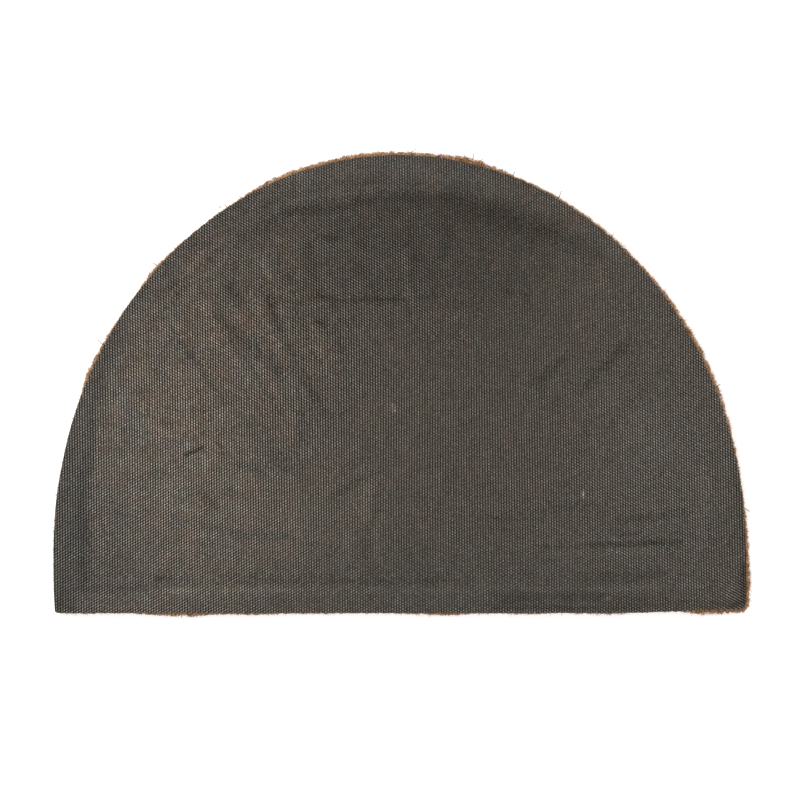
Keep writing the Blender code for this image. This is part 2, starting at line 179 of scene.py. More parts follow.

# Short marks on the canvas: light and dark lines of the border, ribs between the warm and the grey,
# painted shade along creases and wrinkles with painted highlights beside them, and flecks.
STREAKS_AND_PAINTED_SHADE = table("Streak", mm="x0 y0 x1 y1 width", percent="tone warmth", rows=(
    # border left
    (-247, 42, -262, -1, 16, -14, -60),
    (-262, -1, -267, -40, 14, -14, -60),
    (-267, -40, -272, -79, 14, -14, -60),
    (-275, -79, -274, -178, 15, -15, -50),
    (-285, -40, -286, -187, 28, -7, -60),
    (-255, 51, -281, -14, 26, -6, -60),
    (-221, 99, -255, 51, 26, -6, -60),
    (-182, 140, -221, 99, 28, -5, -50),
    (-130, 168, -182, 140, 29, -2, -45),
    (-69, 184, -130, 168, 28, 0, -30),
    (-221, 81, -242, 51, 12, -10, -40),
    (-197, 100, -221, 81, 10, -3, -30),
    (-184, 87, -193, 76, 6.1, -11, 20),
    (-236, 54, -216, 74, 12, 6, -30),
    # painted light that lifts the border trough's own shade along these two strokes
    (-202.6, 86.6, -169.7, 111.7, 5.2, 5, 0),
    (-169.7, 111.7, -138.5, 134.2, 5.2, 5, 0),
    (-287, -38, -292, -100, 10, -4, -30),
    (-261, -17, -262, -83, 6.1, 9, 25),
    (-242, -100, -244, -174, 35, -5, -35),
    (-247, 36, -243, 37, 6.1, -11, 0),
    (-204, 83, -188, 87, 10, -11, 0),
    (-176, 120, -167, 122, 6.1, -11, 0),
    (-281, -100, -274, -101, 6.9, -9, 0),
    # border top
    (-87, 178, 0, 190, 22, 8, -10),
    (0, 187, 69, 178, 24, 11, -20),
    (69, 178, 138, 151, 21, 10, -10),
    (35, 193, 71, 187, 6.9, 6, -10),
    (138, 151, 190, 112, 17, 5, -5),
    (-95, 157, -56, 165, 6.1, 9, 0),
    (-56, 165, -7, 171, 6.9, 11, 0),
    (-10, 174, -4, 178, 6.1, 7, 0),
    (-47.6, 173.2, -13, 177.5, 4.3, -7, 0),
    (22, 173, 78, 163, 9, 8, 10),
    (-136, 123, -100, 146, 10, -9, 0),
    (-100, 148, -45, 153, 7.8, -15, 0),
    (-45, 155, -28, 159, 6.1, -11, 0),
    (-30, 160, 43, 161, 9, -11, 0),
    (43, 158, 87, 146, 21, -13, 5),
    (87, 145, 134, 130, 22, -12, 10),
    (134, 130, 171, 113, 21, -8, 5),
    (-69.3, 128.1, -54.5, 126.4, 5.2, -14, 0),
    (-79, 120, -71, 76, 9, -10, 10),
    (-43, 132, -19, 137, 9, -8, 0),
    (-39, 128, -33, 120, 7.8, -8, 0),
    (-31, 99, -24, 85, 10, -11, 10),
    (-57, 72, -45, 71, 7.8, -10, 0),
    (61, 116, 78, 109, 14, 6, 0),
    (13, 116, 12, 86, 6.1, -7, 0),
    # across the middle: painted shade along the creases first, then light and dark marks
    (-69.3, 75.3, -46.8, 71.9, 4.8, -19, 0),
    (-46.8, 71.9, -26, 74.5, 4.8, -11, 0),
    (-26, 74.5, -2.6, 72.7, 4.8, -19, 0),
    (-2.6, 72.7, 31.2, 76.2, 4.3, -9, 0),
    (92.6, 78.8, 112.6, 77.9, 5.2, -11, 0),
    (121.2, 100.4, 138.5, 102.2, 4.3, -6, 0),
    (4.3, 116, 6.1, 88.3, 4.3, 8, 0),
    (6.1, 88.3, 12.1, 68.4, 5.2, 10, 0),
    (117, 0, 138, 19, 9, -11, 0),
    (135, -10, 140, -27, 6.9, -6, 0),
    (162, -1, 178, 16, 7.8, -10, 0),
    (178, 16, 196, 34, 10, -14, 0),
    (195, -22, 216, -1, 7.8, -7, 0),
    (180, -40, 195, -22, 6.1, -6, 0),
    (203, -38, 216, -50, 29, 7, -20),
    (182, -10, 189, -22, 17, 5, -5),
    # ribs, light
    (-192, 47, -180, 34, 10, 6, 20),
    (-171, 68, -159, 45, 10, 8, 25),
    (-161, 40, -135, 10, 10, 9, 25),
    (-135, 10, -113, -17, 7.8, 6, 25),
    (-123, 19, -104, -10, 6.9, 9, 30),
    (-147, 68, -130, 50, 9, 4, 25),
    (-130, 50, -116, 35, 9, 3, 40),
    (-129, 74, -113, 48, 7.8, 9, 35),
    (-104.8, 67.5, -95.2, 50.2, 5.2, 16, 15),
    (-113, 48, -98, 17, 6.9, 9, 20),
    (-98, 17, -94, -7, 6.9, 8, 15),
    (-75, 50, -68, 28, 7.8, 14, 30),
    (-68, 28, -61, 10, 6.9, 8, 20),
    (-124, 112, -111, 92, 6.1, 15, 10),
    (-188, 89, -171, 113, 7.8, 14, 20),
    (-102, 125, -94, 106, 6.9, 6, 50),
    (-247, 0, -240, -21, 13, 7, -75),
    (-230, -31, -224, -45, 10, 8, -60),
    (-249, -47, -246, -57, 9, 1, -50),
    (-91, -31, -92, -48, 7.8, 8, 0),
    # ribs, dark
    (-158, 58, -140, 42, 7.8, -14, -25),
    (-140, 42, -131, 33, 7.8, -17, -5),
    (-131, 33, -105, 10, 9, -10, -45),
    (-127, 7, -103, -27, 6.9, -9, -40),
    (-105, 10, -97, 0, 6.9, -5, -30),
    (-199, 51, -190, 36, 6.9, -6, -20),
    (-190, 36, -179, 22, 6.9, -14, 5),
    (-179, 22, -157, -8, 6.9, -11, -40),
    (-157, -8, -136, -29, 6.9, -8, -40),
    (-133, -29, -120, -53, 9, -8, -45),
    (-120, -53, -100, -74, 9, -9, -30),
    (-148, 83, -138, 74, 10, -15, -20),
    (-91, 24, -87, 5, 6.9, -6, -20),
    (-73, -14, -60, -29, 9, -8, -20),
    (-114, 74, -106, 55, 7.8, -20, -5),
    (-113, 72, -85, 72, 6.9, -8, 10),
    (-106, 55, -89, 17, 6.9, -10, -20),
    (-94, 31, -88, -1, 6.9, -3, -30),
    (-84, -24, -85, -48, 11, -7, -40),
    (-82, 112, -74, 83, 7.8, -8, 0),
    (-59, 43, -47, 28, 6.9, -7, -10),
    (-46, 26, -40, -17, 7.8, -3, -10),
    (-31, 29, -28, -17, 6.9, -2, 0),
    (-84, 4, -73, -14, 7.8, -12, 5),
    (-84, 57, -80, 45, 6.9, -9, 0),
    (-120, -42, -100, -66, 7.8, -8, -40),
    (-71, 54, -67, 52, 7.8, -23, 10),
    # wrinkles left: painted shade in their folds, with painted highlights beside some
    (-185.3, -61.5, -170.6, -55, 3.8, -44, 0),
    (-187, -57.1, -182.7, -52.8, 4.3, 14, 10),
    (-169.7, -62.3, -168, -72.7, 4.3, 16, 0),
    (-207.8, -32, -199.1, -33.8, 4.3, -11, 0),
    (-154, -62, -120, -76, 6.9, -8, -40),
    (-225, -71, -216, -66, 6.9, -8, -20),
    (-249, -81, -204, -76, 11, -7, -10),
    (-163, -90, -133, -100, 10, -8, 0),
    (-120, -94, -108, -95, 7.8, -6, 0),
    (-255, -111, -216, -114, 13, -7, -10),
    (-248, -136, -232, -134, 6.9, -10, -10),
    (-199, -122, -152, -124, 7.8, -7, -40),
    (-152, -129, -95, -132, 6.9, -8, -40),
    (-169, -92, -161, -105, 10, -10, -10),
    (-162.8, -100.4, -159.3, -105.6, 5.2, -14, 20),
    (-238, -40, -231, -45, 10, -6, -20),
    # bottom
    (-264, -177, -225, -176, 6.1, -11, 0),
    (-216, -168, -120, -170, 6.9, -6, -10),
    (-120, -170, 0, -171, 6.9, -8, 0),
    (0, -170, 35, -171, 7.8, -10, 0),
    (9, -152, 17, -168, 22, -6, -10),
    (-216, -179, 208, -178, 6.1, 6, 0),
    (-197, -179, -181, -179, 5.6, 24, 0),
    (-154.1, -179.2, -95.2, -178.4, 4.8, 15, 0),
    (-294, -190, -284, -191, 12, -20, 10),
    (-273, -187, -216, -187, 12, 6, -30),
    (-289, -191, -249, -191, 6.1, 9, -20),
    (88, -185, 126, -185, 12, -11, 0),
    (143, -184, 176, -184, 11, -12, 0),
    (178, -187, 232, -189, 11, -8, 0),
    (178, -190, 281, -190, 7.8, -9, 30),
    # hub
    (-56, -98, -42, -87, 6.9, -10, -10),
    (-41.6, -87.4, -31.2, -80.5, 5.2, -9, -10),
    (-28, -90, -33, -118, 11, 8, 35),
    (-42, -100, -28, -113, 10, 5, 10),
    (-29, -126, -29, -149, 10, -8, 0),
    (-20, -125, -19, -149, 6.1, 9, 10),
    (-45, -131, -48, -152, 9, 7, -10),
    (-61, -149, -59, -139, 6.1, -6, 0),
    (-87, -74, -76, -92, 16, -6, 0),
    (-91, -126, -95, -148, 12, 7, 30),
    # lower right: painted shade along the creases with painted highlights beside them, then marks near the
    # right edge
    (121.2, -140.3, 166.2, -140.3, 4.3, -4, 0),
    (166, -140, 216, -138, 5.7, -15, 0),
    (217.3, -137.7, 227.7, -137.7, 4.3, -28, 0),
    (230.3, -137.7, 243.3, -136.8, 4.3, -15, 0),
    (121.2, -135.9, 207.8, -134.2, 4.3, 6, 0),
    (138, -146, 216, -145, 6.1, 6, 0),
    (189, -118, 221, -115, 7.8, -10, 0),
    (221, -114, 251, -112, 6.1, -8, 0),
    (190.5, -130.7, 206.1, -129.9, 4.3, -14, 0),
    (138.5, -107.4, 173.2, -103.9, 5.2, -5, 0),
    (164, -170, 225, -165, 9, -11, 0),
    (156, -178, 225, -176, 6.1, 7, 0),
    (69, -118, 138, -109, 6.9, -3, 0),
    (91, -126, 97, -130, 9, -7, 0),
    (298, -157, 298, -187, 6.9, -25, 30),
    (300, -105, 300, -158, 6.1, -14, 20),
    (82.3, -193.5, 207.8, -193.9, 4.3, -14, 0),
    (288, -192, 299, -187, 6.9, -25, 30),
    (296, -171, 293, -187, 10, -14, 25),
    (263, -79, 263, -126, 12, 6, -10),
    (249, -170, 261, -142, 12, 5, -10),
    (291, -40, 295, -135, 9, -7, 0),
    # flecks
    (-6.1, -18.2, -4.3, -23.4, 3.5, 40, 30),
    (158.4, -92.6, 159.3, -97.8, 2.3, 60, 80),
    (154.1, 51.1, 154.1, 50.2, 2.6, 30, 100),
    (180.1, -186.1, 181, -186.1, 2.6, 45, 100),
    (-279.7, -187, -278.8, -192.2, 2.3, 11, 100),
))

# Flare of the pile past the backing, by the distance along the cut edge, anticlockwise from the
# left corner.
FLARES = table("Flare", mm="along out", rows=(
    (0, 0), (20, 0.8), (60, 0.2), (90, 2.5), (120, 2.8), (140, 1.2), (170, 2), (200, 0.7),
    (240, 0.7), (280, 0.3), (320, 1.3), (340, 2.6), (360, 0.8), (380, 0.5), (410, 1.3), (440, 0),
    (470, 0.9), (480, 1.4), (500, 0), (540, 0), (560, 3.4), (600, 1.1), (620, 2.9), (640, 2.3),
    (660, 1.8), (700, 1.1), (740, 1.8), (800, 3.7), (880, 2.7), (920, 1.9), (980, 1.6), (1050, 1.6),
    (1090, 4.5), (1120, 2.5), (1180, 3.3), (1270, 2.9), (1300, 1), (1320, 0.9), (1350, 0.4), (1390, 2.8),
    (1420, 0.2), (1470, 2.1), (1500, 3.4), (1520, 0.7), (1570, 0.1), (1710, 0),
))

# The dense inside of the pile: its lattice, how far its lower and upper rims stand out or in, and
# the heights of its bristles, which stand between gaps.
CORE_SEED = 8
CORE_COLUMN = 0.0026
CORE_ROW = 0.0022
CORE_FLARE_SHARE = 0.75
CORE_LOWER_INSET = 0.0006
CORE_UPPER_INSET = 0.0016
CORE_RIM_Z = 0.003
CORE_TOP_Z = PILE_HEIGHT - 0.0001
BRISTLE_GAP_Z = (0.0016, 0.0034)
BRISTLE_TIP_Z = (0.0003, 0.0016)

# The rim's tufts and fibres. Shifts are shares of the way from tuft to tuft, reaches are shares of
# the flare or metres past it, and tints are steps from dark to light. The guard keeps a fibre
# without length from a division by 0.
FRINGE_SEED = 17
FIBRE_POINTS = 5
LENGTH_GUARD = 1e-12
FIBRE_CLEAR = 0.0001
FIBRE_WIDTHS = (0.7, 1.35)
FIBRE_TAPER = 0.35
FIBRE_BULGE = (0.7, 1.4)
FIBRE_BOW = 0.0004
FIBRE_LEAN = 0.0010
FIBRE_SPREAD = 0.0010
FIBRE_TINTS = 0.15
ROOT_DEPTH = 0.0012
TIP_SPREAD = 0.0004
TIP_Z = (0.0002, 0.0030)
TUFT_SHIFT = 0.4
TUFT_REACH = (0.60, 1.45)
TUFT_STAND = (-0.0002, 0.0004)
TUFT_LEAN = 0.0012
TUFT_TINTS = 0.07
# Painted light: the rim's fibres are made lighter where they face right and up, darker where they face left
# and down.
RIM_PAINTED_LIGHT = np.array([0.08, 0.07])
LOOSE_FROM = 0.975
LOOSE_REACH = (0.0004, 0.0022)
LOOSE_LIFT = 0.008

# The rim's fibres stand in layers: how far in from the cut edge a layer is rooted, which share of
# the flare its tips reach, and how soon they lean out. Below 1 they lean out near their roots.
Layer = namedtuple("Layer", "name root share bulge")
LAYERS = (
    Layer(name="coir_fringe_outer", root=0.0001, share=1.00, bulge=0.45),
    Layer(name="coir_fringe_middle", root=0.0012, share=0.95, bulge=0.65),
    Layer(name="coir_fringe_inner", root=0.0026, share=0.85, bulge=0.90),
)

# Stray fibres that stick out of the rim, from root to tip in plan, with how far they bow and how
# high their tips are.
STRAY_ROOT_Z = 0.010
STRAY_RADIUS = 0.0004
STRAY_TINT = -0.25
STRAYS = table("Stray", mm="x0 y0 x1 y1 bow tip_z", rows=(
    (-145.5, 150.6, -153.2, 156.7, 0.3, 9),
    (-155, 152.4, -158.4, 155, -0.5, 8),
    (-187, 116.9, -192.2, 122.9, 0.5, 7),
    (-210.4, 102.2, -215.6, 105.6, -0.4, 7),
    (6.9, 197.4, 14.7, 204.3, 0.7, 10),
    (0, 197.4, 11.3, 201.7, -1, 8),
    (64.1, 193.1, 56.3, 199.1, 1.8, 10),
    (62.3, 192.2, 64.1, 200.9, -0.7, 9),
    (67.5, 190.5, 72.7, 195.7, 0.4, 7),
    (138.5, 161.9, 141.1, 168, 0.4, 9),
    (97, 179.2, 100.4, 185.3, -0.3, 9),
    (273.6, -3.5, 278.8, 0, 0.2, 9),
    (298.7, -107.4, 303.9, -110.8, 0.5, 5),
    (-86.6, 180.1, -90, 186.1, 0.4, 9),
    (-189.6, -197.4, -189.6, -203.5, 0.2, 6),
    (-258, 34.6, -262.3, 39, 0.4, 8),
))


class DoormatCanvas(bpy.types.PropertyGroup):
    """The woven, coated back of the mat."""

    column: FloatProperty(
        name="Column", description="Distance between two warp columns", default=0.00225, unit="LENGTH")
    row: FloatProperty(
        name="Row", description="Distance between two weft rows", default=0.0012175, unit="LENGTH")
    lean: FloatProperty(
        name="Lean", description="How far the columns lean to the right going down",
        default=math.radians(0.5), subtype="ANGLE")
    pit_depth: FloatProperty(
        name="Pit depth", description="How deep a pit lies between the threads",
        default=0.00048, unit="LENGTH")
    cool: FloatVectorProperty(
        name="Cool", description="Colour of the clean grey threads",
        default=(0.0562, 0.0535, 0.0486), subtype="COLOR")
    stain: FloatVectorProperty(
        name="Stain", description="Colour of the threads under the brown stain",
        default=(0.0800, 0.0542, 0.0345), subtype="COLOR")
    blotches: FloatProperty(name="Blotches", description="How blotchy the stain is", default=0.19)
    uneven: FloatProperty(name="Uneven", description="How uneven the yarn's tone is", default=0.15)


class DoormatCoir(bpy.types.PropertyGroup):
    """The coir pile under the canvas."""

    tufts: IntProperty(name="Tufts", description="Tufts round the rim in each layer", default=620)
    fibres: IntProperty(name="Fibres", description="Fibres in each rim tuft", default=12)
    fibre_radius: FloatProperty(
        name="Fibre radius", description="Half of a coir fibre's thickness", default=0.00019, unit="LENGTH")
    dark: FloatVectorProperty(
        name="Dark", description="Colour of the darkest fibres",
        default=(0.085, 0.042, 0.020), subtype="COLOR")
    middle: FloatVectorProperty(
        name="Middle", description="Colour of most fibres",
        default=(0.460, 0.245, 0.110), subtype="COLOR")
    light: FloatVectorProperty(
        name="Light", description="Colour of the lightest fibres",
        default=(0.680, 0.450, 0.250), subtype="COLOR")


class DoormatStage(bpy.types.PropertyGroup):
    """Floor, light and camera."""

    floor: FloatVectorProperty(
        name="Floor", description="Colour of the studio floor",
        default=(0.90, 0.90, 0.90), subtype="COLOR")
    glow: FloatProperty(name="Glow", description="How strongly the floor is lit from below", default=0.40)
    sky: FloatProperty(name="Sky", description="Strength of the even studio light", default=0.95)
    key: FloatProperty(name="Key", description="Power of the large soft light", default=30.0, subtype="POWER")


def arc(centre, radii, start, end, steps):
    """Points on an arc of an ellipse, with its angles in degrees."""
    angles = [math.radians(start + (end - start) * step / steps) for step in range(steps + 1)]
    return [(centre[0] + radii[0] * math.cos(a), centre[1] + radii[1] * math.sin(a)) for a in angles]


def straight(start, end, steps):
    """Points inside a straight stretch, without its two ends."""
    shares = [step / steps for step in range(1, steps)]
    return [(start[0] + (end[0] - start[0]) * s, start[1] + (end[1] - start[1]) * s) for s in shares]


def pulled(point):
    """A point of the outline, moved by the pulls that reach it."""
    x, y = point
    for pull in PULLS:
        weight = math.exp(-((x - pull.x) ** 2 + (y - pull.y) ** 2) / pull.reach ** 2)
        x += pull.dx * weight
        y += pull.dy * weight
    return x, y


def outline():
    """The half-round outline in plan, anticlockwise from its left corner."""
    half_width = WIDTH / 2
    left_centre = (LEFT_CORNER_RADIUS - half_width, STRAIGHT_EDGE_Y + LEFT_CORNER_RADIUS)
    right_centre = (half_width - RIGHT_CORNER_RADIUS, STRAIGHT_EDGE_Y + RIGHT_CORNER_RADIUS)
    right = arc(right_centre, (RIGHT_CORNER_RADIUS,) * 2, -90, 0, CORNER_STEPS)
    arch = arc((0.0, SPRING_Y), (half_width, ARCH_RISE), 0, 180, ARCH_STEPS)
    left = arc(left_centre, (LEFT_CORNER_RADIUS,) * 2, 180, 270, CORNER_STEPS)
    points = straight(left[-1], right[0], STRAIGHT_STEPS) + right
    points += straight(right[-1], arch[0], SIDE_STEPS) + arch
    points += straight(arch[-1], left[0], SIDE_STEPS) + left
    return [pulled(point) for point in points]


class EdgeLine:
    """The closed line of the cut edge, read by the distance along it."""

    def __init__(self, points):
        self.points = np.array(list(points[-1:]) + list(points))
        steps = np.hypot(*np.diff(self.points, axis=0).T)
        self.along = np.concatenate(([0.0], np.cumsum(steps)))
        self.length = float(self.along[-1])

    def point(self, along):
        """The points at distances along the line."""
        along = np.mod(along, self.length)
        return np.stack([np.interp(along, self.along, self.points[:, axis]) for axis in (0, 1)], axis=-1)

    def outward(self, along):
        """The directions that point out of the mat at distances along the line."""
        tangent = self.point(along + NORMAL_REACH) - self.point(along - NORMAL_REACH)
        tangent /= np.linalg.norm(tangent, axis=-1, keepdims=True)
        return np.stack((tangent[..., 1], -tangent[..., 0]), axis=-1)

    def place(self, along, out):
        """The points at distances along the line, moved outwards."""
        return self.point(along) + np.asarray(out)[..., None] * self.outward(along)


def flare_at(along):
    """How far the pile flares past the cut edge at distances along it."""
    return np.interp(along, *zip(*FLARES))


def turned(directions):
    """Directions in plan, turned a quarter anticlockwise seen from above."""
    return np.stack((-directions[..., 1], directions[..., 0]), axis=-1)


def knife_line():
    """The cut edge as the knife left it, a little in and out of true."""
    line = EdgeLine(outline())
    rng = random.Random(KNIFE_SEED)
    return EdgeLine([line.place(along, rng.uniform(-KNIFE_WANDER, 0.0)) for along in line.along[1:]])


def bump(distance, width):
    """A soft swelling, 1 at no distance and next to nothing at its width."""
    return np.exp(-(2 * distance / width) ** 2)


def edge_inset(x, y):
    """How far places in plan lie inside the outline, about."""
    up = np.maximum(y - SPRING_Y, 0.0)
    share = np.hypot(x / (WIDTH / 2), up / ARCH_RISE)
    arch = np.hypot(x, up) * (1 / np.maximum(share, MIDDLE_GUARD) - 1)
    return np.minimum(arch, y - STRAIGHT_EDGE_Y)


def segment_distance(x, y, row):
    """How far places lie from the straight line of a table's row."""
    dx, dy = row.x1 - row.x0, row.y1 - row.y0
    share = np.clip(((x - row.x0) * dx + (y - row.y0) * dy) / (dx * dx + dy * dy), 0.0, 1.0)
    return np.hypot(x - row.x0 - share * dx, y - row.y0 - share * dy)


def rib_distance(x, y, rib):
    """How far places lie from a rib of the fan."""
    bearing = math.radians(rib.bearing)
    dx, dy = x - HUB[0], y - HUB[1]
    along = dx * math.cos(bearing) + dy * math.sin(bearing)
    aside = dy * math.cos(bearing) - dx * math.sin(bearing)
    past_end = np.maximum(np.maximum(rib.near - along, along - rib.far), 0.0)
    return np.hypot(aside, past_end)


def relief(x, y):
    """How high the canvas stands above its own level at places in plan."""
    total = -BORDER_TROUGH * bump(edge_inset(x, y) - BORDER_MIDDLE, BORDER_WIDTH)
    for rib in RIBS:
        total = total + rib.height * bump(rib_distance(x, y, rib), 2 * RIB_WIDTH)
    for crease in CREASES:
        total = total - crease.depth * bump(segment_distance(x, y, crease), 2 * CREASE_WIDTH)
    return total


def canvas_values(x, y):
    """What the patches and streaks give the canvas at places in plan, by name.

    Where streaks overlap, the strongest counts, so that strokes that meet make one line.
    """
    values = {name: np.full_like(x, level) for name, level in CANVAS_LEVELS.items()}
    for patch in PATCHES:
        weight = np.exp(-((x - patch.x) / patch.across) ** 2 - ((y - patch.y) / patch.along) ** 2)
        for name in values:
            values[name] += getattr(patch, name) * weight
    marks = {name: (np.zeros_like(x), np.zeros_like(x)) for name in ("tone", "warmth")}
    for streak in STREAKS_AND_PAINTED_SHADE:
        weight = bump(segment_distance(x, y, streak), streak.width)
        for name, (most, least) in marks.items():
            mark = getattr(streak, name) * weight
            np.maximum(most, mark, out=most)
            np.minimum(least, mark, out=least)
    for name, (most, least) in marks.items():
        values[name] += most + least
    return values


def wander(x, y):
    """How far the warp strands have drifted sideways at places in plan."""
    return sum(w.reach * np.sin(x / w.across + y / w.along + w.phase) for w in WANDERS)


def curled(points):
    """Points of the flat mat, moved to where the lifted corner takes them."""
    across = np.array([CURL_UP_RIGHT_SIDE, -CURL_ALONG_STRAIGHT_EDGE])
    direction = across / np.linalg.norm(across)
    reach = CURL_ALONG_STRAIGHT_EDGE * direction[0]
    corner = np.array([WIDTH / 2, STRAIGHT_EDGE_Y])
    past = np.maximum(reach + (points[..., :2] - corner) @ direction, 0.0)
    tilt = np.arctan(2 * CURL_RISE * past / reach ** 2)
    below = TOP_Z - points[..., 2]
    bent = points.copy()
    bent[..., :2] += (below * np.sin(tilt))[..., None] * direction
    bent[..., 2] = TOP_Z + CURL_RISE * (past / reach) ** 2 - below * np.cos(tilt)
    return bent


def inside(points, fence):
    """Whether points in plan lie inside a closed line."""
    x, y = points[:, 0], points[:, 1]
    found = np.zeros(len(points), bool)
    for (x0, y0), (x1, y1) in zip(fence, np.roll(fence, -1, axis=0)):
        if y0 != y1:
            crosses = ((y0 > y) != (y1 > y)) & (x < (x1 - x0) * (y - y0) / (y1 - y0) + x0)
            found ^= crosses
    return found


def border_edges(triangles):
    """The directed edges that only one triangle has."""
    edges = np.concatenate([triangles[:, [0, 1]], triangles[:, [1, 2]], triangles[:, [2, 0]]])
    size = int(triangles.max()) + 1
    codes = edges[:, 0].astype(np.int64) * size + edges[:, 1]
    mirrored = edges[:, 1].astype(np.int64) * size + edges[:, 0]
    return edges[~np.isin(codes, mirrored)]


def border_loop(triangles):
    """The points round the border of a set of triangles, in order."""
    following = dict(border_edges(triangles).tolist())
    start = min(following)
    loop = [start]
    while following[loop[-1]] != start:
        loop.append(following[loop[-1]])
    return np.array(loop)


def spread_along(line, points):
    """How far along the line a ring of points near it lies, in order and evened out a little."""
    fine = np.linspace(0.0, line.length, LINE_READINGS, endpoint=False)
    places = line.point(fine)
    nearest = [np.hypot(*(places - point).T).argmin() for point in points]
    along = np.sort(np.unwrap(fine[nearest], period=line.length))
    for _ in range(SPREAD_PASSES):
        before = np.concatenate((along[-1:] - line.length, along[:-1]))
        after = np.concatenate((along[1:], along[:1] + line.length))
        along = (before + 2 * along + after) / 4
    return along


def steps_across(size, step):
    """Whole numbers of steps that reach a little past a size, on both sides of its middle."""
    reach = math.ceil(size / 2 / step) + LATTICE_MARGIN
    return np.arange(-reach, reach + 1)


def lattice_field(line, column, row, lean, drift):
    """A lattice of points over the mat, fitted to the edge line at its border.

    Gives the points in plan, which of them are even, the triangles and the border loop. Each
    diagonal joins two odd points, so that the even ones stand alone.
    """
    fence = line.points[1:]
    u, w = np.meshgrid(steps_across(WIDTH, column), steps_across(DEPTH, row))
    y = w * row
    x = u * column - math.tan(lean) * y
    x = x + drift(x, y)
    points = np.stack((x.ravel(), y.ravel()), axis=1)
    even = ((u + w) % 2 == 0).ravel()
    index = np.arange(points.shape[0]).reshape(u.shape)
    a, b = index[:-1, :-1].ravel(), index[:-1, 1:].ravel()
    c, d = index[1:, 1:].ravel(), index[1:, :-1].ravel()
    kept = inside((points[a] + points[c]) / 2, fence)
    a, b, c, d = a[kept], b[kept], c[kept], d[kept]
    rising = even[b][:, None]
    first = np.where(rising, np.stack((a, b, c), 1), np.stack((a, b, d), 1))
    second = np.where(rising, np.stack((a, c, d), 1), np.stack((b, c, d), 1))
    triangles = np.concatenate((first, second))
    on_border = np.zeros(points.shape[0], bool)
    on_border[border_edges(triangles).ravel()] = True
    triangles = triangles[~on_border[triangles].all(axis=1)]
    used, triangles = np.unique(triangles, return_inverse=True)
    triangles = triangles.reshape(-1, 3)
    points, even = points[used], even[used]
    loop = border_loop(triangles)
    points[loop] = line.point(spread_along(line, points[loop]))
    return points, even, triangles, loop


def coarse_cap(fence):
    """Points and triangles that fill a closed line in plan, its own points first."""
    xs = np.arange(-WIDTH / 2, WIDTH / 2, CAP_CELL)
    ys = np.arange(-DEPTH / 2, DEPTH / 2, CAP_CELL)
    grid = np.stack(np.meshgrid(xs, ys), axis=-1).reshape(-1, 2)
    clear = edge_inset(*grid.T) > CAP_CELL / 2
    points = np.concatenate((fence, grid[clear & inside(grid, fence)]))
    given = [Vector(point) for point in points.tolist()]
    found, _, faces, origins, _, _ = delaunay_2d_cdt(given, [], [list(range(len(fence)))], 1, CAP_MERGE)
    if len(found) != len(points):
        raise RuntimeError("the cap's points were merged")
    names = np.array([origin[0] for origin in origins])
    return points, names[np.array(faces)]


def closed_slab(field, field_z, cap_z, up, fence=None):
    """A closed body between a fine field and a coarse level cap. The field is its upper face if up.

    fence is the cap's border, a point for each point of the field's own, where the two differ.
    """
    points, _, triangles, loop = field
    cap, cap_triangles = coarse_cap(points[loop] if fence is None else fence)
    fine = np.column_stack((points, field_z))
    coarse = np.column_stack((cap, np.full(len(cap), cap_z)))
    base = len(fine)
    ring = np.arange(len(loop))
    after = np.roll(ring, -1)
    walls = np.concatenate((
        np.stack((loop[ring], base + ring, loop[after]), 1),
        np.stack((base + ring, base + after, loop[after]), 1)))
    faces = np.concatenate((triangles, cap_triangles[:, ::-1] + base, walls))
    return np.concatenate((fine, coarse)), faces if up else faces[:, ::-1]


def add_mesh(name, verts, faces, material):
    """A new object from flat triangles, set down where the mat lies."""
    placed = np.asarray(verts, dtype=np.float64).copy()
    placed[:, :2] += PLACE
    mesh = bpy.data.meshes.new(name)
    mesh.vertices.add(len(placed))
    mesh.vertices.foreach_set("co", placed.astype(np.float32).ravel())
    mesh.loops.add(faces.size)
    mesh.loops.foreach_set("vertex_index", faces.astype(np.int32).ravel())
    mesh.polygons.add(len(faces))
    mesh.polygons.foreach_set("loop_start", np.arange(0, faces.size, 3, dtype=np.int32))
    mesh.update(calc_edges=True)
    mesh.validate()
    mesh.polygons.foreach_set("use_smooth", np.zeros(len(faces), dtype=bool))
    mesh.materials.append(material)
    piece = bpy.data.objects.new(name, mesh)
    bpy.context.scene.collection.objects.link(piece)
    return piece


def set_values(piece, name, values):
    """Give each point of a mesh a value that its material reads."""
    made = piece.data.attributes.new(name, "FLOAT", "POINT")
    made.data.foreach_set("value", values.astype(np.float32))


# Where most of a noise's value lies, and how a share of light is read as a share of the tone seen.
NOISE_SPAN = (0.25, 0.75)
GAMMA = 2.2

# The canvas's noises, in waves to a metre, and how much each changes the threads: how high they
# rise, how brown and how light they are, whether they lean to purple or green, and how rough.
RISE_NOISE = 230.0
RISE_SPAN = (0.65, 1.35)
WARMTH_BASE = 0.30
WARMTH_GAIN = 0.35
# Painted warm shade: how much browner the gaps between the threads are than the crowns.
PAINTED_GAP_SHADE_WARMTH = 0.45
CLOUD_NOISE = 47.0
CLOUD_WARMTH = 0.18
MOTTLE_NOISE = 62.0
MOTTLE_LIGHT = 0.16
GRAIN_HEIGHT = 0.1
SPECK_LIGHT = 0.44
CAST_NOISE = 150.0
CAST_SPAN = (0.3, 0.7)
PURPLE_CAST = (1.04, 0.985, 1.015, 1.0)
GREEN_CAST = (0.96, 1.015, 0.985, 1.0)
CANVAS_ROUGHNESS = (0.56, 0.72)

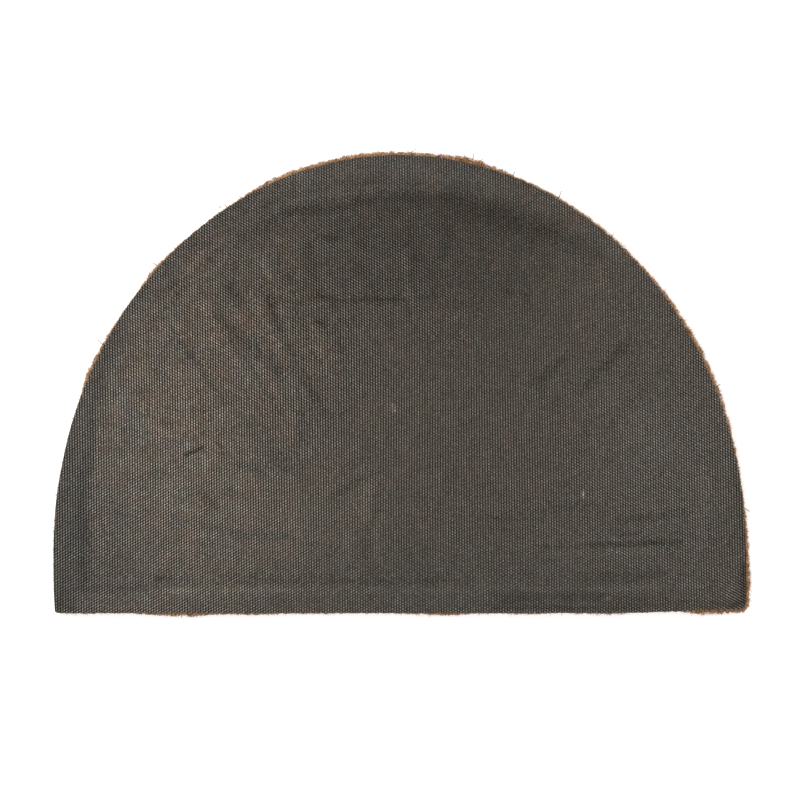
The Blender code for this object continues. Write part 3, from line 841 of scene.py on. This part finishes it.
# The coir's tint, from dark to light: what grain adds, and where one colour passes to the next.
# Its grain also makes it rougher, and the studio paper's makes that a little darker.
COIR_BASE = 0.13
COIR_BLOTCH = 0.36
COIR_GRAIN = 0.45
DARK_TO_MIDDLE = (0.16, 0.54)
MIDDLE_TO_LIGHT = (0.55, 0.95)
COIR_ROUGHNESS = (0.70, 0.88)
PAPER_SHADE = (0.99, 1.0)

# The yarn: how uneven the strands are beside the single threads, how long their uneven stretches
# are, and the darkest light between the threads.
YARN_SHARE = 1.2
YARN_STRETCH = 0.04
YARN_NOISE = 1.7
DARKEST = 0.08


class Nodes:
    """A node tree that is filled a node at a time."""

    def __init__(self, tree):
        self.tree = tree

    def add(self, kind, **settings):
        """A new node. Its settings are attributes of the node."""
        node = self.tree.nodes.new(kind)
        for name, value in settings.items():
            setattr(node, name, value)
        return node

    def feed(self, value, socket):
        """Link an output to a socket, or set the socket to a plain value."""
        if isinstance(value, bpy.types.NodeSocket):
            self.tree.links.new(value, socket)
        else:
            socket.default_value = value

    def maths(self, operation, first, second=0.0, third=0.0, clamp=False):
        """The output of a Math node."""
        node = self.add("ShaderNodeMath", operation=operation, use_clamp=clamp)
        for value, socket in zip((first, second, third), node.inputs):
            self.feed(value, socket)
        return node.outputs[0]

    def mix(self, share, first, second, blend="MIX"):
        """The colour output of a Mix node."""
        node = self.add("ShaderNodeMix", data_type="RGBA", blend_type=blend)
        self.feed(share, node.inputs[0])
        self.feed(first, node.inputs[6])
        self.feed(second, node.inputs[7])
        return node.outputs[2]

    def span(self, value, low, high, to_low=0.0, to_high=1.0):
        """A value carried from one span to another, and held at its ends."""
        node = self.add("ShaderNodeMapRange", interpolation_type="SMOOTHSTEP")
        for number, socket in zip((value, low, high, to_low, to_high), node.inputs):
            self.feed(number, socket)
        return node.outputs[0]

    def noise(self, place, scale, detail=2.0, roughness=0.5):
        """The value of a Noise texture, whose scale is in waves to a metre."""
        node = self.add("ShaderNodeTexNoise")
        self.feed(place, node.inputs["Vector"])
        self.feed(scale, node.inputs["Scale"])
        node.inputs["Detail"].default_value = detail
        node.inputs["Roughness"].default_value = roughness
        return node.outputs["Fac"]

    def cloud(self, place, scale, to_low=0.0, to_high=1.0, detail=2.0, roughness=0.5):
        """Noise, carried from where most of its value lies to another span."""
        return self.span(self.noise(place, scale, detail, roughness), *NOISE_SPAN, to_low, to_high)

    def spread(self, share, to_low, to_high):
        """A share from 0 to 1 carried to another span."""
        return self.span(share, 0.0, 1.0, to_low, to_high)

    def value(self, name):
        """A value that the mesh gives each of its points."""
        return self.add("ShaderNodeAttribute", attribute_name=name).outputs["Fac"]

    def scaled(self, colour, amount):
        """A colour made stronger or weaker."""
        node = self.add("ShaderNodeVectorMath", operation="SCALE")
        self.feed(colour, node.inputs[0])
        self.feed(amount, node.inputs["Scale"])
        return node.outputs[0]


def new_group(name, inputs, outputs):
    """An empty shader node group with named inputs and outputs, and its two end nodes."""
    group = bpy.data.node_groups.new(name, "ShaderNodeTree")
    for label, kind in inputs:
        group.interface.new_socket(label, in_out="INPUT", socket_type=kind)
    for label, kind in outputs:
        group.interface.new_socket(label, in_out="OUTPUT", socket_type=kind)
    nodes = Nodes(group)
    return nodes, nodes.add("NodeGroupInput").outputs, nodes.add("NodeGroupOutput").inputs


def weave_group():
    """Plain weave by its own column and row numbers, with strands, crossings and uneven yarn. Its light is
    lowest between the threads, partly painted shade of the pits there.
    """
    nodes, given, out = new_group(
        "Plain_weave",
        tuple((name, "NodeSocketFloat") for name in ("Column", "Row", "Strand", "Cross", "Slant", "Uneven")),
        (("Light", "NodeSocketFloat"), ("Swell", "NodeSocketFloat"), ("Chance", "NodeSocketFloat")))
    u, w = given["Column"], given["Row"]
    strand = nodes.maths("COSINE", nodes.maths("MULTIPLY", u, 2 * math.pi))
    falling = nodes.maths("COSINE", nodes.maths("MULTIPLY", nodes.maths("SUBTRACT", u, w), math.pi))
    rising = nodes.maths("COSINE", nodes.maths("MULTIPLY", nodes.maths("ADD", u, w), math.pi))
    share = nodes.span(given["Slant"], -1.0, 1.0)
    leant = nodes.maths("MULTIPLY_ADD", share, nodes.maths("SUBTRACT", falling, rising), rising)
    crossing = nodes.maths("MULTIPLY", leant, -1.0)
    crossed = nodes.maths("MULTIPLY", crossing, given["Cross"])
    pattern = nodes.maths("MULTIPLY_ADD", strand, given["Strand"], crossed)
    cell = nodes.add("ShaderNodeCombineXYZ")
    nodes.feed(nodes.maths("ROUND", u), cell.inputs[0])
    nodes.feed(nodes.maths("ROUND", w), cell.inputs[1])
    chance = nodes.add("ShaderNodeTexWhiteNoise", noise_dimensions="2D")
    nodes.feed(cell.outputs[0], chance.inputs["Vector"])
    yarn = nodes.add("ShaderNodeCombineXYZ")
    nodes.feed(nodes.maths("ROUND", u), yarn.inputs[0])
    nodes.feed(nodes.maths("MULTIPLY", w, YARN_STRETCH), yarn.inputs[1])
    thick = nodes.noise(yarn.outputs[0], YARN_NOISE, detail=1.0)
    both = nodes.maths("MULTIPLY_ADD", thick, YARN_SHARE, chance.outputs["Value"])
    middle = (1 + YARN_SHARE) / 2
    uneven = nodes.maths("MULTIPLY", nodes.maths("SUBTRACT", both, middle), given["Uneven"])
    light = nodes.maths("ADD", nodes.maths("ADD", pattern, 1.0), uneven)
    nodes.feed(nodes.maths("POWER", nodes.maths("MAXIMUM", light, DARKEST), GAMMA), out["Light"])
    nodes.feed(pattern, out["Swell"])
    nodes.feed(chance.outputs["Value"], out["Chance"])
    return nodes.tree


def grain_group():
    """Grain of fibres and dust: two sizes of noise, each round its own middle value."""
    nodes, given, out = new_group(
        "Fibre_grain",
        (("Place", "NodeSocketVector"), ("Coarse", "NodeSocketFloat"), ("Fine", "NodeSocketFloat")),
        (("Blotch", "NodeSocketFloat"), ("Grain", "NodeSocketFloat")))
    nodes.feed(nodes.cloud(given["Place"], given["Coarse"], detail=3.0), out["Blotch"])
    nodes.feed(nodes.cloud(given["Place"], given["Fine"]), out["Grain"])
    return nodes.tree


def shared_group(name, build):
    """A node group that is built once."""
    return bpy.data.node_groups.get(name) or build()


def new_material(name, roughness, shine):
    """An empty material: its nodes, its Principled shader and its object coordinates."""
    made = bpy.data.materials.new(name)
    made.use_nodes = True
    nodes = Nodes(made.node_tree)
    shader = made.node_tree.nodes["Principled BSDF"]
    shader.inputs["Roughness"].default_value = roughness
    shader.inputs["Specular IOR Level"].default_value = shine
    place = nodes.add("ShaderNodeTexCoord").outputs["Object"]
    return made, nodes, shader, place


def use_group(nodes, group, **values):
    """Place a node group in a material. Gives its outputs."""
    node = nodes.add("ShaderNodeGroup", node_tree=group)
    for name, value in values.items():
        nodes.feed(value, node.inputs[name.capitalize()])
    return node.outputs


def fibre_grain(nodes, place, coarse, fine):
    """The outputs of the grain group at two sizes of noise."""
    return use_group(nodes, shared_group("Fibre_grain", grain_group), place=place, coarse=coarse, fine=fine)


def add_bump(nodes, shader, height, distance):
    """Raise a surface's fine relief by a height value."""
    raised = nodes.add("ShaderNodeBump")
    raised.inputs["Distance"].default_value = distance
    nodes.feed(height, raised.inputs["Height"])
    nodes.feed(raised.outputs[0], shader.inputs["Normal"])


def canvas_material(canvas):
    """Coated canvas: light strands with dark gaps, partly painted shade that is also painted warmer, patches
    of tone and brown stain, and lines of tone with painted shade and highlights along creases and wrinkles.
    """
    made, nodes, shader, place = new_material("Coated_canvas", roughness=0.62, shine=0.03)
    read = {name: nodes.value(name) for name in
            ("column", "row", "tone", "warmth", "strand", "cross", "slant", "wear")}
    raised = nodes.cloud(place, RISE_NOISE, *RISE_SPAN, detail=1.0)
    weave = use_group(nodes, shared_group("Plain_weave", weave_group), uneven=canvas.uneven,
                      **{name: read[name] for name in ("column", "row", "slant")},
                      **{name: nodes.maths("MULTIPLY", read[name], raised) for name in ("strand", "cross")})
    grain = fibre_grain(nodes, place, coarse=170.0, fine=950.0)
    blotch = nodes.maths("SUBTRACT", grain["Blotch"], 0.5)
    warm = nodes.maths("MULTIPLY_ADD", read["warmth"], WARMTH_GAIN, WARMTH_BASE)
    warm = nodes.maths("MULTIPLY_ADD", blotch, canvas.blotches, warm)
    cloud = nodes.cloud(place, CLOUD_NOISE, -CLOUD_WARMTH, CLOUD_WARMTH, detail=3.0, roughness=0.6)
    warm = nodes.maths("MULTIPLY_ADD", cloud, read["wear"], warm)
    # Painted warm shade: the gaps between the threads come out browner than the crowns.
    stain_and_gap_shade = nodes.maths("MULTIPLY_ADD", weave["Swell"], -PAINTED_GAP_SHADE_WARMTH, warm, clamp=True)
    thread = nodes.mix(stain_and_gap_shade, (*canvas.cool, 1.0), (*canvas.stain, 1.0))
    hue = nodes.span(nodes.noise(place, CAST_NOISE), *CAST_SPAN)
    thread = nodes.mix(1.0, thread, nodes.mix(hue, PURPLE_CAST, GREEN_CAST), "MULTIPLY")
    light = nodes.maths("MULTIPLY", weave["Light"], nodes.maths("POWER", read["tone"], GAMMA))
    speck = nodes.spread(grain["Grain"], -1.0, 1.0)
    light = nodes.maths("MULTIPLY", light, nodes.maths("MULTIPLY_ADD", speck, SPECK_LIGHT, 1.0))
    mottle = nodes.cloud(place, MOTTLE_NOISE, -MOTTLE_LIGHT, MOTTLE_LIGHT, detail=3.0, roughness=0.65)
    light = nodes.maths("MULTIPLY", light, nodes.maths("MULTIPLY_ADD", mottle, read["wear"], 1.0))
    nodes.feed(nodes.scaled(thread, light), shader.inputs["Base Color"])
    nodes.feed(nodes.spread(grain["Blotch"], *CANVAS_ROUGHNESS), shader.inputs["Roughness"])
    height = nodes.maths("MULTIPLY_ADD", grain["Grain"], GRAIN_HEIGHT, weave["Swell"])
    add_bump(nodes, shader, height, distance=0.0002)
    return made


def coir_material(coir):
    """Coir: orange-brown fibres, each tuft of its own colour, and the rim's fibres with painted light:
    lighter where they face right and up, darker where they face left and down.
    """
    made, nodes, shader, place = new_material("Coir_fibre", roughness=0.78, shine=0.15)
    grain = fibre_grain(nodes, place, coarse=210.0, fine=900.0)
    mixed = nodes.maths("ADD", nodes.value("tint_and_painted_light"), COIR_BASE)
    mixed = nodes.maths("MULTIPLY_ADD", grain["Blotch"], COIR_BLOTCH, mixed)
    mixed = nodes.maths("MULTIPLY_ADD", grain["Grain"], COIR_GRAIN, mixed)
    lower = nodes.mix(nodes.span(mixed, *DARK_TO_MIDDLE), (*coir.dark, 1.0), (*coir.middle, 1.0))
    colour = nodes.mix(nodes.span(mixed, *MIDDLE_TO_LIGHT), lower, (*coir.light, 1.0))
    nodes.feed(colour, shader.inputs["Base Color"])
    nodes.feed(nodes.spread(grain["Grain"], *COIR_ROUGHNESS), shader.inputs["Roughness"])
    add_bump(nodes, shader, grain["Grain"], distance=0.0001)
    return made


def floor_material(stage):
    """Matt studio paper."""
    made, nodes, shader, place = new_material("Studio_paper", roughness=0.9, shine=0.2)
    grain = fibre_grain(nodes, place, coarse=3.0, fine=400.0)
    shade = nodes.spread(grain["Blotch"], *PAPER_SHADE)
    nodes.feed(nodes.scaled(tuple(stage.floor), shade), shader.inputs["Base Color"])
    shader.inputs["Emission Color"].default_value = (1.0, 1.0, 1.0, 1.0)
    shader.inputs["Emission Strength"].default_value = stage.glow
    return made


def shared_material(name, build, *values):
    """A material that is built once."""
    return bpy.data.materials.get(name) or build(*values)


def fibre_tubes(paths, radii, side):
    """Closed three-sided tubes along paths of points, tapering to their tips.

    paths is (fibres, points, 3), radii is (fibres, points) and side a direction for each fibre
    that lies roughly across it.
    """
    fibres, count = paths.shape[:2]
    along = np.gradient(paths, axis=1)
    along /= np.linalg.norm(along, axis=2, keepdims=True) + LENGTH_GUARD
    first = np.cross(along, side[:, None, :])
    first /= np.linalg.norm(first, axis=2, keepdims=True) + LENGTH_GUARD
    second = np.cross(along, first)
    angles = np.arange(3) * 2 * math.pi / 3
    ring = first[:, :, None] * np.cos(angles)[:, None] + second[:, :, None] * np.sin(angles)[:, None]
    verts = paths[:, :, None, :] + ring * radii[:, :, None, None]
    step = np.arange(count - 1)[:, None] * 3
    corner = np.arange(3)[None, :]
    after = (corner + 1) % 3
    walls = np.concatenate((
        np.stack((step + corner, step + after, step + 3 + corner), -1).reshape(-1, 3),
        np.stack((step + after, step + 3 + after, step + 3 + corner), -1).reshape(-1, 3)))
    last = 3 * (count - 1)
    one = np.concatenate((walls, [[2, 1, 0], [last, last + 1, last + 2]]))
    faces = (one[None] + (np.arange(fibres) * 3 * count)[:, None, None]).reshape(-1, 3)
    return verts.reshape(-1, 3), faces


class DOORMAT_OT_canvas(bpy.types.Operator):
    """Weave the coated canvas back, with its ribs, creases and border trough"""

    bl_idname = "doormat.canvas"
    bl_label = "Canvas back"

    def execute(self, context):
        canvas = context.scene.doormat_canvas
        field = lattice_field(knife_line(), canvas.column, canvas.row, canvas.lean, wander)
        points, even, _, loop = field
        x, y = points.T
        rng = np.random.default_rng(CANVAS_SEED)
        height = TOP_Z + relief(x, y) - np.where(even, canvas.pit_depth, 0.0)
        height += rng.uniform(-THREAD_WANDER, THREAD_WANDER, len(points))
        height[loop] = TOP_Z - CANVAS_RIM_DROP
        verts, faces = closed_slab(field, height, UNDER_Z, True)
        material = shared_material("Coated_canvas", canvas_material, canvas)
        piece = add_mesh("canvas_back", curled(verts), faces, material)
        x, y = verts[:, 0], verts[:, 1]
        values = canvas_values(x, y)
        values["column"] = (x - wander(x, y) + math.tan(canvas.lean) * y) / canvas.column
        values["row"] = y / canvas.row
        for name, numbers in values.items():
            set_values(piece, name, numbers)
        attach(piece, "root")
        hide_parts("backing")
        return {"FINISHED"}


class DOORMAT_OT_coir_core(bpy.types.Operator):
    """Build the dense inside of the coir pile, bristly on the face that lies on the floor"""

    bl_idname = "doormat.coir_core"
    bl_label = "Coir core"

    def execute(self, context):
        coir = context.scene.doormat_coir
        line = EdgeLine(outline())
        flare = flare_at(line.along[1:])
        lower = EdgeLine(line.place(line.along[1:], CORE_FLARE_SHARE * flare - CORE_LOWER_INSET))
        upper = EdgeLine(line.place(line.along[1:], np.full(len(flare), -CORE_UPPER_INSET)))
        field = lattice_field(lower, CORE_COLUMN, CORE_ROW, 0.0, lambda x, y: 0.0)
        points, even, _, loop = field
        fence = upper.point(spread_along(upper, points[loop]))
        rng = np.random.default_rng(CORE_SEED)
        gaps, tips = (rng.uniform(*span, len(points)) for span in (BRISTLE_GAP_Z, BRISTLE_TIP_Z))
        height = np.where(even, gaps, tips)
        height[loop] = CORE_RIM_Z
        verts, faces = closed_slab(field, height, CORE_TOP_Z, False, fence)
        material = shared_material("Coir_fibre", coir_material, coir)
        piece = add_mesh("coir_core", curled(verts), faces, material)
        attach(piece, "root")
        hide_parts("coir_pile")
        return {"FINISHED"}


def layer_paths(line, coir, layer, rng):
    """Paths of one layer of the rim's fibres, and where along the cut edge each is rooted."""
    steps = np.linspace(0.0, 1.0, FIBRE_POINTS)
    tufts, shape = coir.tufts, (coir.tufts, coir.fibres)
    tuft_along = (np.arange(tufts) + rng.uniform(-TUFT_SHIFT, TUFT_SHIFT, tufts)) * line.length / tufts
    flare = flare_at(np.mod(tuft_along, line.length))
    tuft_out = layer.share * (flare * rng.uniform(*TUFT_REACH, tufts) + rng.uniform(*TUFT_STAND, tufts))
    tuft_lean = rng.normal(0.0, TUFT_LEAN, tufts)
    along = tuft_along[:, None] + rng.normal(0.0, FIBRE_SPREAD, shape)
    root_out = -layer.root - rng.uniform(0.0, ROOT_DEPTH, shape)
    tip_out = tuft_out[:, None] + rng.normal(0.0, TIP_SPREAD, shape)
    lean = tuft_lean[:, None] + rng.normal(0.0, FIBRE_LEAN, shape)
    loose = rng.uniform(0.0, 1.0, shape) > LOOSE_FROM
    tip_out = np.where(loose, tip_out + rng.uniform(*LOOSE_REACH, shape), tip_out)
    tip_z = rng.uniform(*TIP_Z, shape) + np.where(loose, rng.uniform(0.0, LOOSE_LIFT, shape), 0.0)
    each = (along, root_out, tip_out, lean, tip_z)
    along, root_out, tip_out, lean, tip_z = (values.reshape(-1, 1) for values in each)
    bulge = layer.bulge * rng.uniform(*FIBRE_BULGE, along.shape)
    bow = rng.normal(0.0, FIBRE_BOW, along.shape) * np.sin(math.pi * steps)
    plan = line.place(along + lean * steps + bow, root_out + (tip_out - root_out) * steps ** bulge)
    z = PILE_HEIGHT + (tip_z - PILE_HEIGHT) * steps
    return np.concatenate((plan, z[..., None]), axis=2), along.ravel()


def stray_paths():
    """Paths of the loose fibres in the table."""
    steps = np.linspace(0.0, 1.0, FIBRE_POINTS)
    rows = np.array(STRAYS)
    start, end, bow, tip_z = rows[:, 0:2], rows[:, 2:4], rows[:, 4], rows[:, 5]
    aside = turned(end - start)
    aside /= np.linalg.norm(aside, axis=1, keepdims=True)
    plan = start[:, None] + (end - start)[:, None] * steps[:, None]
    plan = plan + aside[:, None] * (bow[:, None] * np.sin(math.pi * steps))[..., None]
    z = STRAY_ROOT_Z + (tip_z - STRAY_ROOT_Z)[:, None] * steps
    return np.concatenate((plan, z[..., None]), axis=2)


class DOORMAT_OT_coir_fringe(bpy.types.Operator):
    """Stand the tufts of loose coir fibres round the rim, in layers"""

    bl_idname = "doormat.coir_fringe"
    bl_label = "Coir fringe"

    def execute(self, context):
        coir = context.scene.doormat_coir
        line = EdgeLine(outline())
        material = shared_material("Coir_fibre", coir_material, coir)
        rng = np.random.default_rng(FRINGE_SEED)
        taper = 1.0 - FIBRE_TAPER * np.linspace(0.0, 1.0, FIBRE_POINTS) ** 2
        first_stray = coir.tufts * coir.fibres
        for layer in LAYERS:
            paths, along = layer_paths(line, coir, layer, rng)
            if layer is LAYERS[0]:
                strays = stray_paths()
                paths = np.concatenate((paths, strays))
                along = np.concatenate((along, np.zeros(len(strays))))
            radii = coir.fibre_radius * rng.uniform(*FIBRE_WIDTHS, len(paths))
            radii[first_stray:] = STRAY_RADIUS
            outward = line.outward(along)
            across = np.column_stack((turned(outward), np.zeros(len(along))))
            verts, faces = fibre_tubes(paths, radii[:, None] * taper, across)
            verts[:, 2] = np.maximum(verts[:, 2], FIBRE_CLEAR)
            piece = add_mesh(layer.name, curled(verts), faces, material)
            # The rim's fibres get painted light by the way they face, and random colour steps by fibre and by
            # tuft.
            tint_and_painted_light = outward @ RIM_PAINTED_LIGHT + rng.normal(0.0, FIBRE_TINTS, len(paths))
            tuft_tint = rng.normal(0.0, TUFT_TINTS, math.ceil(len(paths) / coir.fibres))
            tint_and_painted_light += np.repeat(tuft_tint, coir.fibres)[:len(paths)]
            tint_and_painted_light[first_stray:] = STRAY_TINT
            set_values(piece, "tint_and_painted_light", np.repeat(tint_and_painted_light, len(verts) // len(paths)))
            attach(piece, "root")
        return {"FINISHED"}


# The studio: half the floor's side, the large soft light, and a camera far above the mat, whose
# frame is as wide at the mat's top and as far from its middle as the picture shows.
FLOOR_HALF = 4.0
KEY_SIZE = 1.2
KEY_PLACE = (-1.9, 0.9, 1.5)
LENS = 135.0
SENSOR = 36.0
FRAME_WIDTH = 0.6927
FRAME_MIDDLE = (0.00035, -0.01385)


class DOORMAT_OT_stage(bpy.types.Operator):
    """Lay the pale floor, hang the soft lights and set the camera straight above"""

    bl_idname = "doormat.stage"
    bl_label = "Stage"

    def execute(self, context):
        stage = context.scene.doormat_stage
        corners = FLOOR_HALF * np.array([(-1, -1, 0), (1, -1, 0), (1, 1, 0), (-1, 1, 0)])
        paper = shared_material("Studio_paper", floor_material, stage)
        floor = add_mesh("studio_floor", corners, np.array([[0, 1, 2], [0, 2, 3]]), paper)
        world = bpy.data.worlds.new("Studio_light")
        world.use_nodes = True
        background = world.node_tree.nodes["Background"]
        background.inputs["Color"].default_value = (1.0, 1.0, 1.0, 1.0)
        background.inputs["Strength"].default_value = stage.sky
        context.scene.world = world
        key = bpy.data.lights.new("Key", "AREA")
        key.shape = "DISK"
        key.size = KEY_SIZE
        key.energy = stage.key
        lamp = bpy.data.objects.new("Key", key)
        lamp.location = KEY_PLACE
        lamp.rotation_mode = "QUATERNION"
        lamp.rotation_quaternion = (-Vector(KEY_PLACE)).to_track_quat("-Z", "Y")
        context.scene.collection.objects.link(lamp)
        view = bpy.data.cameras.new("Above")
        view.lens = LENS
        view.sensor_width = SENSOR
        view.dof.use_dof = False
        camera = bpy.data.objects.new("Above", view)
        camera.location = (*(PLACE + FRAME_MIDDLE), TOP_Z + FRAME_WIDTH * LENS / SENSOR)
        context.scene.collection.objects.link(camera)
        context.scene.camera = camera
        context.scene.view_settings.view_transform = "Standard"
        return {"FINISHED"}


class DOORMAT_PT_panel(bpy.types.Panel):
    """The doormat's pieces"""

    bl_label = "Half-round coir doormat"
    bl_idname = "DOORMAT_PT_panel"
    bl_space_type = "VIEW_3D"
    bl_region_type = "UI"
    bl_category = "Doormat"

    def draw(self, context):
        for operator in OPERATORS:
            self.layout.operator(operator.bl_idname)


OPERATORS = (DOORMAT_OT_canvas, DOORMAT_OT_coir_core, DOORMAT_OT_coir_fringe, DOORMAT_OT_stage)
SETTINGS = (("doormat_canvas", DoormatCanvas), ("doormat_coir", DoormatCoir), ("doormat_stage", DoormatStage))
CLASSES = tuple(kind for _, kind in SETTINGS) + OPERATORS + (DOORMAT_PT_panel,)


def register():
    """Add the operators, the panel and the settings."""
    for kind in CLASSES:
        bpy.utils.register_class(kind)
    for name, kind in SETTINGS:
        setattr(bpy.types.Scene, name, PointerProperty(type=kind))


def unregister():
    """Take the settings, the panel and the operators away."""
    for name, _ in SETTINGS:
        delattr(bpy.types.Scene, name)
    for kind in reversed(CLASSES):
        bpy.utils.unregister_class(kind)


def main():
    """Build every piece."""
    register()
    bpy.ops.doormat.stage()
    bpy.ops.doormat.canvas()
    bpy.ops.doormat.coir_core()
    bpy.ops.doormat.coir_fringe()


if __name__ == "__main__":
    main()
